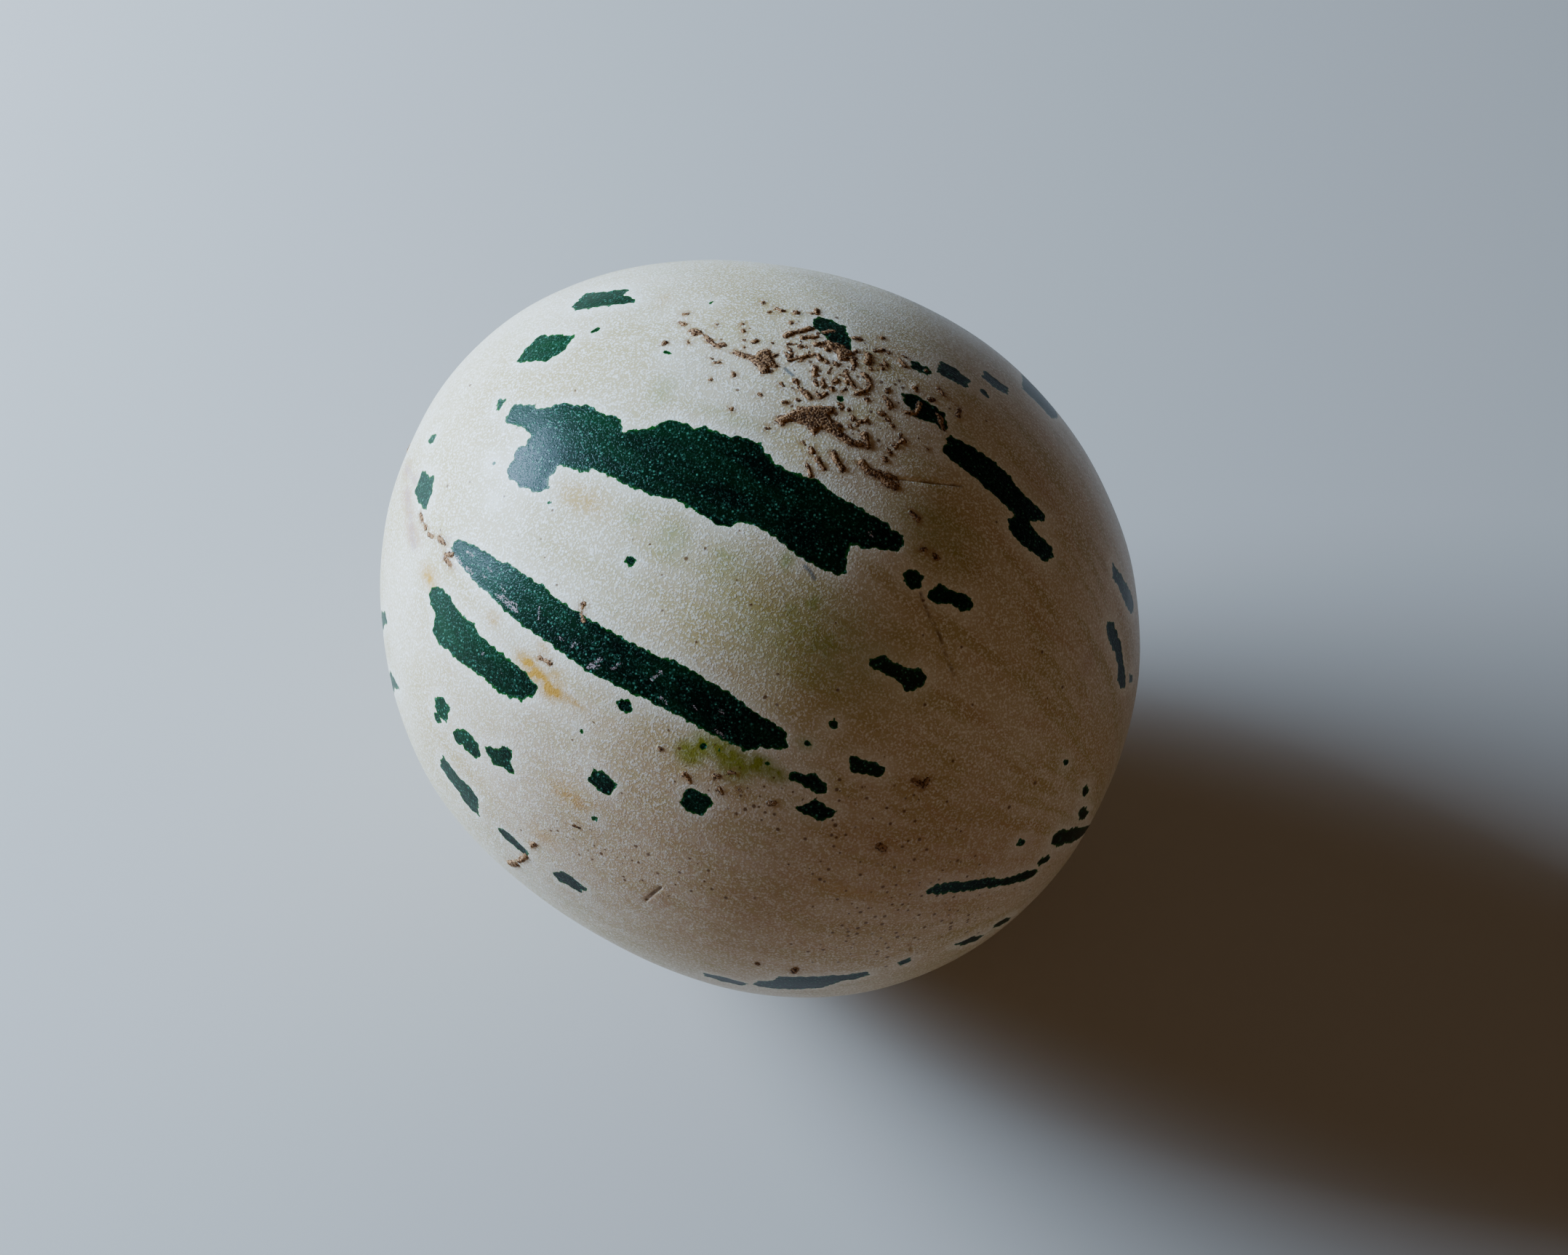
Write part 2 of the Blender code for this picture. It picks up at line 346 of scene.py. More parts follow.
# Each stroke: its width in millimetres, then its points along and around.
scab_strokes = [
    (0.6, (60.3, 44.3), (61.4, 44.4), (62.8, 45.2)), (0.4, (61, 45.3), (61.3, 45.4)),
    (0.8, (63.2, 45.8), (64.4, 46.6), (65.5, 47)), (0.6, (64.6, 46.6), (66, 46.4)),
    (0.5, (58, 42.4), (58.8, 43)), (0.9, (68.2, 47.4), (69.6, 47.6)),
    (0.5, (66, 50.6), (66.8, 50.4)), (1.0, (73.8, 40.8), (74.4, 39.6), (75.4, 38.6), (76.4, 37)),
    (1.0, (76.2, 40), (78, 38.6)), (0.9, (78.4, 40.4), (80, 39)), (1.2, (80, 39.2), (82.4, 40.6)),
    (1.0, (81.4, 39.4), (83.2, 41)), (0.6, (76, 45.8), (77.2, 44.6), (77.8, 43.8), (78.9, 42.7)),
    (0.8, (79.4, 42.6), (80, 43.3)), (0.6, (80.8, 43.1), (81.1, 43.4)),
    (0.8, (79.9, 45.4), (80.3, 46.9)), (0.6, (82, 47.2), (82.3, 48.3)),
    (0.5, (82, 44.3), (82, 45.3)), (0.5, (82.3, 42.9), (82.7, 43.1)),
    (0.4, (83.8, 45.8), (84.2, 46.1)), (0.4, (81.8, 49.9), (82.1, 50.1)),
    (0.5, (88.3, 51.4), (88.4, 51.7)), (0.4, (89.5, 51.5), (89.7, 51.4)),
    (0.5, (88.4, 53), (88.8, 53.2)), (0.4, (88.8, 47), (89, 47.2)),
    (0.4, (94.5, 40.6), (94.6, 40.9)), (0.4, (93.8, 49.3), (94.1, 49.5)),
    (0.6, (90.8, 43.6), (91.1, 44)), (0.4, (74.4, 54.1), (74.7, 54.2)),
    (0.4, (76.6, 50.6), (77, 51)), (0.5, (83.4, 47.8), (83.6, 48.2)),
    (0.4, (86, 50.2), (86.2, 50.4)), (0.8, (78.2, 49.2), (79.2, 50.2), (81.2, 51.2)),
    (0.6, (82, 50), (82.6, 50.4)), (0.9, (75.8, 31), (76.2, 32.4)), (0.8, (70.4, 34), (71.4, 34.2)),
    (0.7, (73.4, 33.6), (73.6, 34)), (0.6, (78.6, 36.8), (79.8, 35.6)),
    (0.8, (83, 35.6), (83.8, 35.4)), (0.5, (68, 32.6), (68.1, 33)),
    (0.7, (86.6, 36.6), (87.6, 35.4)), (1.2, (85.8, 38), (86.4, 39.8)),
    (0.7, (90.4, 35.8), (91.6, 36.8)), (0.7, (97.4, 37.6), (98.4, 38.2)),
    (0.6, (101.4, 39), (101.8, 40.4)), (0.7, (84.2, 41), (85, 41.8)),
    (0.9, (86.6, 42.6), (87.8, 43.4), (88.4, 44), (88.4, 45.2), (87.2, 46.8)),
    (0.5, (84.2, 44), (85.5, 45.3), (86.6, 46)), (0.7, (91.2, 45), (92.6, 46)),
    (0.5, (91.4, 48.4), (92, 48.2)), (0.9, (94.9, 45.7), (96, 45)), (0.6, (96, 42.6), (96.2, 44.8)),
    (0.6, (99, 42.6), (100.8, 44.6)), (0.9, (96.4, 50.8), (95.8, 52.4)),
    (0.8, (95, 53.8), (95.4, 54)), (1.2, (91, 53.4), (91.6, 54), (92.2, 54.9)),
    (0.5, (95.3, 55.5), (95.5, 55.7)), (1.4, (92.6, 58), (94, 58.5), (96, 58.6), (98.4, 58.7)),
    (0.6, (96.4, 57.8), (98, 57.4)), (0.7, (85, 59.5), (85.4, 60.1)),
    (0.9, (88.2, 58.8), (89.6, 60), (90.4, 60.4)), (0.8, (86.4, 60.9), (88, 61.8)),
    (0.4, (83.4, 59.2), (83.8, 59.4)), (0.4, (85.6, 62.4), (86.8, 63.8)),
    (0.6, (102.2, 61.3), (103.6, 61.5)), (0.3, (100.2, 49.8), (100.3, 49.8)),
    (0.4, (71.6, 58.4), (71.7, 58.4)), (0.5, (106.2, 65.6), (106.6, 65.3)),
    (0.6, (108.2, 65), (108.8, 65.3)), (0.7, (64.9, 97.6), (65, 98.4), (65.4, 99.2), (65.9, 99.8)),
    (0.6, (35.1, 103.8), (37, 104.2)), (0.5, (38, 105.8), (39.6, 104.8)),
    (0.5, (38.4, 106.7), (40.2, 106.9)), (0.5, (27.6, 103.4), (31, 104.9)),
    (0.5, (32.2, 105.6), (33.6, 105.4)), (1.0, (122.2, 111.9), (123.2, 112.4)),
    (0.5, (90.6, 113.8), (91.4, 114), (92, 114.5)), (0.5, (96.4, 113), (97.1, 113.7)),
    (0.5, (96.6, 109.9), (97.4, 109.6)), (0.4, (94.8, 111.5), (95.4, 111.3)),
    (0.5, (99.3, 111.8), (99.8, 111.9)), (0.5, (104.2, 111.7), (104.8, 111.4)),
    (0.4, (85.3, 111.7), (85.6, 111.9)), (0.4, (78.8, 134.4), (79.6, 134.2)),
    (0.5, (62.3, 109.8), (63.2, 109.6), (64.4, 109.4)), (0.8, (115, 149.1), (115.3, 149.5)),
    (0.9, (121, 148.7), (121.2, 150.8)), (0.8, (73.4, 152), (73.2, 154), (72.6, 156.6)),
    (1.8, (72.3, 158.6), (71.4, 161.4)), (0.8, (74.1, 145.4), (73.7, 147)),
    (0.6, (122, 98.6), (124, 98.7)), (0.5, (124, 97.6), (124, 99)),
]
print(len(scab_fields), "broad scabs and", len(scab_strokes), "small ones")

# %% [markdown]
# Cracks and grooves are sunken lines. Scuffs are pale pink lines where the skin was rubbed,
# mostly along the long streak and near the stem. Bruises are small slate-grey smudges. All
# are strokes too.

# %% Cracks and scuffs
cracks = [
    (0.5, (98, 57.4), (100, 56.4), (103.2, 54.6), (107, 52)),
    (0.5, (109, 71.5), (111, 73.3), (114.5, 75.5), (117, 77.8), (119.5, 79.6)),
    (0.7, (95.6, 137.2), (95.2, 138.6), (94.8, 140.2), (94.5, 142)),
    (0.6, (137, 137), (137.4, 139), (137.6, 140.6)),
]
scuffs = [
    (0.4, (42, 101.8), (43.6, 101.7)), (0.3, (47.4, 101.6), (48.2, 101.8)),
    (0.5, (38.6, 104.4), (40.4, 104.4), (42, 104.7)), (0.5, (43.4, 104.6), (45, 104.8)),
    (0.3, (47, 103.6), (48, 103.8)), (0.4, (51, 103), (52.2, 103.6)),
    (0.7, (51, 105), (55.4, 105.2)), (0.4, (52, 104.4), (55, 104.2)),
    (0.3, (58.6, 102), (59.2, 104)), (0.4, (66, 104.8), (66.6, 103.8)),
    (0.8, (70, 106.1), (70.6, 105), (71, 104)), (0.5, (70.6, 105.8), (71.6, 105)),
    (0.5, (73.4, 104.4), (74.2, 102.8)), (0.6, (79.6, 102.6), (80.4, 100.8)),
    (0.5, (91, 101.6), (91.6, 101.9)), (0.6, (82, 104.4), (83.2, 104.6)),
    (0.5, (91.8, 104.8), (93.4, 105)), (0.6, (98.4, 67.4), (98.9, 67.8)),
    (0.3, (87, 103), (87.8, 103.3)), (0.3, (63.6, 104.6), (64.4, 104.7)),
    (0.3, (52.8, 116), (53, 117)), (0.3, (56.8, 116.4), (57.3, 116.9)),
    (0.5, (36.4, 102.6), (37.8, 101.7)), (0.6, (37.8, 106.7), (39, 106.2), (42.6, 106.8)),
    (1.5, (19.2, 102), (20.8, 104), (22.7, 106.1)), (1.8, (24.5, 107.6), (27, 110), (29.5, 112.5)),
    (1.2, (14, 95), (18, 96), (21.8, 96.4)), (0.35, (95.4, 137.4), (95.8, 138.4)),
    (0.3, (95.6, 139), (95.3, 139.8)), (0.28, (95, 141), (95.4, 141.4)),
]
bruises = [
    (0.7, (76.1, 47.7), (76.8, 48.1), (77.5, 48.4)), (0.6, (92.2, 76.7), (93.2, 77), (94.3, 77.7)),
]
print(len(cracks), "cracks,", len(scuffs), "scuffs and", len(bruises), "bruises")

# %% [markdown]
# Some marks are only colour in the skin and have no edge: soft stains, each a spot with a
# length, a width and a strength. They are yellow, green or rosy. The two broadest rosy ones
# lie over the lower part of the side that faces the camera and towards the blossom end, and
# there the rosy tan is painted shade as well as stain. Fine brown specks come thickest in a
# few places, and a stain of the same kind says how thick. Round the broad scabs lie small
# raised crumbs of cork, which are scattered by a seeded draw.

# %% Stains, specks and crumbs
# Each stain: along, around, length, width in degrees, and strength.
yellow_stains = [
    (60.6, 112, 5, 3.4, 1.0), (63, 112.7, 6, 3.6, 1.0), (66, 113.2, 6, 4, 1.0),
    (70.4, 113, 4, 1.6, 0.8), (57.5, 82.2, 9, 5, 0.5), (66, 110.4, 3.4, 2.4, 0.5),
    (62, 107.8, 3, 2.2, 0.6), (52.2, 109.2, 3, 3, 0.6), (36.6, 113.8, 6, 6, 0.8),
    (53.8, 35.4, 2.4, 6, 0.3), (76, 129.4, 7, 3.4, 0.6), (122, 122.8, 12, 2.4, 0.5),
    (74.6, 141.6, 6, 4, 0.45), (93, 88, 44, 30, 0.14), (84, 112, 40, 10, 0.16),
]
green_stains = [
    (90, 110, 5.4, 4.4, 1.0), (91.4, 107.6, 5, 4, 1.0), (94, 107, 6, 5, 0.9),
    (96.8, 108.4, 6.4, 5.4, 1.0), (100, 106.6, 5.6, 3.4, 1.0), (102.6, 106.8, 5, 3, 0.9),
    (104.6, 100.4, 3, 2, 0.5), (72, 60, 12, 3, 0.2), (98, 86, 30, 16, 0.36), (84, 82, 12, 8, 0.25),
    (106, 62, 16, 9, 0.3), (89.4, 77.4, 2.4, 3.6, 0.5), (61, 59, 4, 7, 0.3), (96, 81, 4, 3, 0.55),
    (93.4, 83.4, 5, 2.4, 0.5), (100, 86, 6, 7, 0.5), (73, 82, 6, 7, 0.35), (81, 81, 4, 3, 0.4),
    (66, 81.4, 3, 3, 0.3),
]
# The two broadest, at along 92, around 134 and along 132, around 116, lay the rosy tan over the lower side
# that faces the camera: painted shade as well as stain.
rosy_stains_and_painted_shade = [
    (20.6, 103.8, 7, 9, 1.0), (24, 107, 6, 7, 0.8), (27.4, 110.2, 8, 8, 1.0), (15, 96, 6, 12, 0.8),
    (21.4, 95.4, 5, 6, 0.7), (148, 104, 9, 6, 0.55), (140, 127, 12, 5, 0.6),
    (121, 122.6, 12, 3, 0.5), (118, 40, 10, 8, 0.3), (140.4, 58.6, 3, 7, 0.5),
    (139, 114.6, 9, 3, 0.5), (150, 122, 5, 5, 0.4), (138, 147, 5, 6, 0.5), (92, 134, 90, 60, 0.65),
    (132, 116, 54, 44, 0.6), (89, 83, 10, 7, 0.25), (96, 140, 9, 7, 0.9),
]

speckled = [
    (84, 137, 20, 8, 1.0), (97, 132, 14, 8, 0.9), (100, 113, 22, 10, 0.9), (120, 110, 30, 20, 0.7),
    (132, 128, 34, 30, 0.8), (84, 44, 34, 22, 0.7), (95, 262, 90, 80, 0.5), (90, 90, 150, 70, 0.05),
]


def scattered_crumbs(count, along, around, widths):
    """Short strokes about a middle. Along and around are each a mean and a spread."""
    crumbs = []
    for _ in range(count):
        a, b = chance.normal(*along), chance.normal(*around)
        turn, length = chance.uniform(0, math.pi), chance.exponential(0.35)
        end = (a + length * math.cos(turn), b + length * math.sin(turn))
        crumbs.append((chance.uniform(*widths), (a, b), end))
    return crumbs


# Each patch of crumbs: how many, its place and spread along and around, and their widths.
for patch in (
    (64, (83, 6.5), (45, 5.5), (0.30, 0.62)),
    (14, (66, 5), (46, 4), (0.25, 0.45)),
    (24, (76, 10), (286, 12), (0.5, 1.2)),
):
    scab_strokes += scattered_crumbs(*patch)
print(len(scab_strokes), "scabs and crumbs with a line")

# %% [markdown]
# ## How far is it to a mark?
#
# A mark could be painted by asking of each point only whether it is inside. Then the edge
# would be as coarse as the mesh. It is better to store how many millimetres a point lies
# inside the outline, negative outside: between two points that number changes evenly, so
# the edge falls in the right place and stays crisp. A stroke works the same way, with the
# gap to its line taken from half of its width.

# %% Distances on the skin
REACH_MM = 4.0                        # further from a mark than this, its distance isn't needed


def flat_mm(along, around, at):
    """Lays the skin near the place `at` flat, in millimetres along and around."""
    turned = (around - at[1] + 180) % 360 - 180
    width = MM_PER_DEGREE * math.sin(math.radians(at[0]))
    return np.stack([(along - at[0]) * MM_PER_DEGREE, turned * width], axis=-1)


def gaps_to_sides(points, starts, ends):
    sides = ends - starts
    reach = points[:, None] - starts
    share = np.clip((reach * sides).sum(-1) / np.maximum((sides**2).sum(-1), 1e-9), 0, 1)
    return np.linalg.norm(reach - share[..., None] * sides, axis=-1).min(axis=1)


def depth_in_outline(points, corners):
    """How deep each point is inside a closed outline, negative outside."""
    starts, ends = corners, np.roll(corners, -1, axis=0)
    gap = gaps_to_sides(points, starts, ends)
    x, y = points[:, :1], points[:, 1:]
    rise = np.where(starts[:, 1] == ends[:, 1], 1e-9, ends[:, 1] - starts[:, 1])
    crossing = starts[:, 0] + (y - starts[:, 1]) * (ends[:, 0] - starts[:, 0]) / rise
    crossed = ((starts[:, 1] > y) != (ends[:, 1] > y)) & (x < crossing)
    return np.where(crossed.sum(axis=1) % 2 == 1, gap, -gap)


def depth_in_stroke(points, line, width):
    return width / 2 - gaps_to_sides(points, line[:-1], line[1:])


def deepest(along, around, outlines=(), strokes=()):
    """For each place, how deep it is in the mark that holds it best."""
    depth = np.full(len(along), -REACH_MM)
    marks = [(None, outline) for outline in outlines]
    marks += [(stroke[0], stroke[1:]) for stroke in strokes]
    for width, points in marks:
        points = np.array(points, float)
        at = points.mean(axis=0)
        line = flat_mm(points[:, 0], points[:, 1], at)
        size = np.abs(line).max(axis=0) + REACH_MM
        places = flat_mm(along, around, at)
        near = np.nonzero((np.abs(places) < size).all(axis=1))[0]
        if width is None:
            found = depth_in_outline(places[near], line)
        else:
            found = depth_in_stroke(places[near], line, width)
        depth[near] = np.maximum(depth[near], found)
    return depth


STAIN_EDGE = 1.4                      # above 1, a stain is flatter inside and ends sooner


def stain_strength(along, around, stains):
    """Soft round spots of colour, 0 to 1."""
    total = np.zeros(len(along))
    for a, b, length, width, strength in stains:
        turned = (around - b + 180) % 360 - 180
        spread = ((along - a) / length * 2) ** 2 + (turned / width * 2) ** 2
        total = np.maximum(total, strength * np.exp(-(spread**STAIN_EDGE)))
    return total


# %% [markdown]
# ## The skin's mesh
#
# A ball of even triangles has no pinched poles, which a globe of longitudes would have.
# Seven steps of dividing give sides of 1.3 mm, fine enough for the bare skin. Only near an
# edge of a mark are the triangles divided twice more, down to a third of a millimetre, and
# once again where something is raised or sunken.

# %% Divide the ball
BALL_STEPS = 7
NEAR_MARKS_MM = (1.25, 0.5)           # each round divides what is nearer to any mark's edge
NEAR_SCABS_MM = 0.3                   # a last round, for what is raised or sunken
NEAR_ENDS_MM = 5.0                    # round the scars at the two ends


def ball_places(mesh):
    directions = np.array([vert.co for vert in mesh.verts])
    directions /= np.linalg.norm(directions, axis=1)[:, None]
    return directions, *place_on_globe(directions)


def divide_where(mesh, near):
    """Divides the edges whose two ends are both near, and puts the new points on the ball."""
    mesh.edges.ensure_lookup_table()
    edges = [edge for edge in mesh.edges if near[edge.verts[0].index] and near[edge.verts[1].index]]
    bmesh.ops.subdivide_edges(mesh, edges=edges, cuts=1, use_grid_fill=True)
    bmesh.ops.triangulate(mesh, faces=mesh.faces[:])
    for vert in mesh.verts:
        vert.co = vert.co.normalized()
    mesh.verts.index_update()


ball = bmesh.new()
bmesh.ops.create_icosphere(ball, subdivisions=BALL_STEPS, radius=1.0)
ball.verts.index_update()
for reach in NEAR_MARKS_MM:
    _, along, around = ball_places(ball)
    edge = np.abs(deepest(along, around, outlines))
    fine = deepest(along, around, scab_fields, scab_strokes + cracks + scuffs + bruises)
    to_end = np.minimum(along, 180 - along) * MM_PER_DEGREE
    divide_where(ball, (edge < reach) | (fine > -reach) | (to_end < NEAR_ENDS_MM))
    print("triangles:", len(ball.faces))
_, along, around = ball_places(ball)
raised = deepest(along, around, scab_fields, scab_strokes + cracks)
to_end = np.minimum(along, 180 - along) * MM_PER_DEGREE
divide_where(ball, (raised > -NEAR_SCABS_MM) | (to_end < NEAR_ENDS_MM))
print("triangles:", len(ball.faces))

# %% [markdown]
# ## Relief
#
# Each point moves out from the core's middle to the smooth form, and then a little more or
# less: cork stands out, cracks and the green skin lie lower, and the whole rind is faintly
# ribbed and uneven, as anything grown is. A bump in the material would light the same way
# but leave the outline smooth, so only the finest grain is left to it.

# %% Measure every mark at every point
STEM_SCAR_MM = 4.2                    # radius of the cork where the stem came away
BLOSSOM_SCAR_MM = 2.2
RAGGED_MM = 0.35                      # how far the blossom scar's edge wanders
RAGGED_SIZE_MM = 1.3                  # from one bay to the next
SCAB_RAGGED, STEM_RAGGED = 0.5, 2     # shares of that for the scabs and the stem's scar
SLOW_WAVES = 24                       # more of them look less regular


def slow_noise(directions, size_mm, seed):
    """Smooth random hills about this wide, between about -1 and 1."""
    draw = np.random.default_rng(seed)
    total = np.zeros(len(directions))
    for _ in range(SLOW_WAVES):
        way = draw.normal(size=3)
        way *= MEAN_RADIUS_MM / size_mm * math.pi / np.linalg.norm(way)
        total += np.sin(directions @ way + draw.uniform(0, 2 * math.pi))
    return total / math.sqrt(SLOW_WAVES)


directions, along, around = ball_places(ball)
to_stem = along * MM_PER_DEGREE
to_blossom = (180 - along) * MM_PER_DEGREE
ragged = RAGGED_MM * slow_noise(directions, RAGGED_SIZE_MM, 3)
green = deepest(along, around, outlines)
cork = deepest(along, around, scab_fields, scab_strokes) + SCAB_RAGGED * ragged
cork = np.maximum(cork, STEM_SCAR_MM - to_stem + STEM_RAGGED * ragged)
cork = np.maximum(cork, BLOSSOM_SCAR_MM - to_blossom + ragged)
crack = deepest(along, around, strokes=cracks)
scuff = deepest(along, around, strokes=scuffs)
bruise = deepest(along, around, strokes=bruises)
print("points inside the green:", int((green > 0).sum()), "and inside cork:", int((cork > 0).sum()))

# %% Add up the relief, in millimetres
# Each step: its height, how far outside the mark it starts, and how wide it is.
CORK_STEP = (0.36, 0.1, 0.55)
CRACK_STEP = (-0.3, 0.15, 0.35)
GREEN_STEP = (-0.05, 0.2, 0.4)
CRUMBLE = (0.45, 1.0)                 # the share of its height that cork has at a point
# Each hollow or ring round an end: its radius, its height and its width.
STEM_SHAPES = [(0, -1.1, 5.5), (1.1, 0.3, 0.45), (2.6, 0.3, 0.45), (4.6, 0.3, 0.45)]
BLOSSOM_SHAPES = [(0, -0.8, 4.5), (1.7, 0.3, 0.4)]
RING_UNEVEN = 0.4                     # how much a ring's height changes round it
RIBS = 10
RIB_HEIGHT = 0.12
RIB_WANDER = 0.75                     # radians that a rib strays
# Each swell of the whole rind: its height, its width and the seed of its noise.
SWELLS = [(0.16, 26, 5), (0.05, 9, 6)]


def step(depth, size):
    """A soft rise or drop at a mark's edge."""
    height, outside, width = size
    share = np.clip((depth + outside) / width, 0, 1)
    return height * share * share * (3 - 2 * share)


def round_end(distance, shapes, uneven):
    """The hollow at an end of the core, with the rings that stand in it."""
    total = np.zeros(len(distance))
    for radius, height, width in shapes:
        swell = height * np.exp(-(((distance - radius) / width) ** 2))
        total += swell * (uneven if radius else 1)
    return total


relief = step(cork, CORK_STEP) * chance.uniform(*CRUMBLE, len(directions))
relief += step(crack, CRACK_STEP) + step(green, GREEN_STEP)
uneven = 1 + RING_UNEVEN * slow_noise(directions, 5, 9)
relief += round_end(to_stem, STEM_SHAPES, uneven)
relief += round_end(to_blossom, BLOSSOM_SHAPES, uneven)
stray = RIB_WANDER * slow_noise(directions, 40, 4)
rib = np.cos(np.radians(around) * RIBS + stray) * np.sin(np.radians(along)) ** 2
relief += RIB_HEIGHT * rib
for height, width, seed in SWELLS:
    relief += height * slow_noise(directions, width, seed)
print("relief from", round(relief.min(), 2), "to", round(relief.max(), 2), "mm")

# %% [markdown]
# The fruit lies on a spot that its own weight has pressed flat. Points that would be below
# the table are brought up to it, with a soft turn at the spot's edge.

# %% Place the points
SOFT_TURN = 0.0003                    # of the flat spot's edge

radius = waves(directions) @ form + relief * MM
points = np.array(middle) + directions * radius[:, None]
points[:, 2] = (points[:, 2] + np.sqrt(points[:, 2] ** 2 + SOFT_TURN**2)) / 2

skin = bpy.data.meshes.new("melon_skin")
ball.to_mesh(skin)
ball.free()
skin.vertices.foreach_set("co", points.astype(np.float32).ravel())
skin.shade_smooth()
skin.update()
print("skin:", len(skin.vertices), "points,", len(skin.polygons), "triangles")

# %% [markdown]
# The distances go on the mesh as named attributes, which the material reads, and so do the
# stains. Two more go with them: how near a point is to the blossom end, where the skin is
# riper, and its place round the core, so that faint streaks can follow the fruit.

# %% Store the marks on the mesh


def store(name, values):
    skin.attributes.new(name, "FLOAT", "POINT").data.foreach_set("value", values.astype(np.float32))


depths = {"green_mm": green, "cork_mm": cork, "crack_mm": crack, "scuff_mm": scuff, "bruise_mm": bruise}
for name, depth in depths.items():
    store(name, depth)
stains = {"speckled": speckled, "yellow": yellow_stains, "olive": green_stains, "rosy_and_painted_shade": rosy_stains_and_painted_shade}
for name, spots in stains.items():
    store(name, stain_strength(along, around, spots))
store("ripeness", along / 180)

turn = np.radians(around)
flow = np.stack([to_stem, MEAN_RADIUS_MM * np.cos(turn), MEAN_RADIUS_MM * np.sin(turn)], axis=1)
skin.attributes.new("flow_mm", "FLOAT_VECTOR", "POINT").data.foreach_set(
    "vector", flow.astype(np.float32).ravel()
)
print("attributes:", [attribute.name for attribute in skin.attributes if not attribute.is_internal])

# %% [markdown]
# ## The rind's material
#
# A material is a chain of small steps, so a few helpers keep it readable: one places a node
# and joins it up, the others are the steps that come again and again.

# %% Helpers for nodes


def put(tree, kind, inputs=None, **settings):
    """Adds a node. Each input is a value, or the output socket that feeds it."""
    made = tree.nodes.new("ShaderNode" + kind)
    for name, value in settings.items():
        setattr(made, name, value)
    for name, value in (inputs or {}).items():
        if isinstance(value, bpy.types.NodeSocket):
            tree.links.new(value, made.inputs[name])
        else:
            made.inputs[name].default_value = value
    return made


def sums(tree, operation, first, second=0.0, third=0.0):
    return put(tree, "Math", {0: first, 1: second, 2: third}, operation=operation).outputs[0]


def blend_in(tree, share, under, over, most=1.0):
    """Lays a colour over another, as far as share says, times most."""
    if most != 1.0:
        share = sums(tree, "MULTIPLY", share, most)
    node = put(tree, "Mix", {0: share, 6: under, 7: over}, data_type="RGBA")
    return node.outputs[2]


def ramp(tree, value, start, end):
    """0 at start, 1 at end, with soft ends."""
    settings = {"Value": value, "From Min": start, "From Max": end}
    return put(tree, "MapRange", settings, interpolation_type="SMOOTHSTEP").outputs[0]


def stored(tree, name, output="Fac"):
    return put(tree, "Attribute", attribute_name=name).outputs[output]


def noise(tree, place, size_mm, detail=2.0):
    settings = {"Vector": place, "Scale": 1 / size_mm, "Detail": detail, "Roughness": 0.55}
    return put(tree, "TexNoise", settings).outputs[0]


def soft_patches(tree, place, size_mm, detail, start, end):
    """Patches about this wide, 0 between them and 1 inside, as the noise goes from start to end."""
    return ramp(tree, noise(tree, place, size_mm, detail), start, end)


def new_group(name, inputs, outputs):
    """An empty shader node group with named sockets. Each is a name and a kind of socket."""
    group = bpy.data.node_groups.new(name, "ShaderNodeTree")
    for label, kind in inputs:
        group.interface.new_socket(label, in_out="INPUT", socket_type="NodeSocket" + kind)
    for label, kind in outputs:
        group.interface.new_socket(label, in_out="OUTPUT", socket_type="NodeSocket" + kind)
    return group, group.nodes.new("NodeGroupInput"), group.nodes.new("NodeGroupOutput")


# %% [markdown]
# The whole rind is set with pale dots, the pores of the skin. They are finer in the ivory
# and dimmer in the green, where each shows as a small star. One group makes both: it
# splits the skin into cells and puts a dot of uneven size in the middle of each. Short
# pale threads join some of the dots, as much as the group's last input says. The fine
# brown specks are dots of the same kind, further apart.

# %% A group for the pores


def pores_group():
    group, given, result = new_group(
        "pores",
        [("Place", "Vector"), ("Spacing", "Float"), ("Size", "Float"), ("Threads", "Float")],
        [("Dots", "Float"), ("Cell", "Float")],
    )
    scale = sums(group, "DIVIDE", 1.0, given.outputs["Spacing"])
    cells = put(group, "TexVoronoi", {"Vector": given.outputs["Place"], "Scale": scale, "Randomness": 0.9})
    split = put(group, "SeparateColor", {0: cells.outputs["Color"]})
    uneven = sums(group, "MULTIPLY_ADD", split.outputs[0], 0.9, 0.35)
    size = sums(group, "MULTIPLY", given.outputs["Size"], uneven)
    inner = sums(group, "MULTIPLY", size, 0.45)
    dots = ramp(group, cells.outputs["Distance"], size, inner)
    fine = sums(group, "MULTIPLY", scale, 1.45)
    wavy = {"Vector": given.outputs["Place"], "Scale": fine, "Detail": 1.5}
    worms = put(group, "TexNoise", wavy).outputs[0]
    threads = sums(group, "MULTIPLY", ramp(group, worms, 0.5, 0.62), given.outputs["Threads"])
    group.links.new(sums(group, "MAXIMUM", dots, threads), result.inputs["Dots"])
    group.links.new(split.outputs[1], result.inputs["Cell"])
    return group


pores = pores_group()
print("group", pores.name, "with", len(pores.nodes), "nodes")

# %% [markdown]
# An outline drawn with straight sides looks cut with scissors. The real edges go round
# clumps of cells about a millimetre wide, which makes rounded steps, with a little fine
# raggedness on top. This group shifts a stored distance by both before it decides what is
# inside.

# %% A group for ragged edges


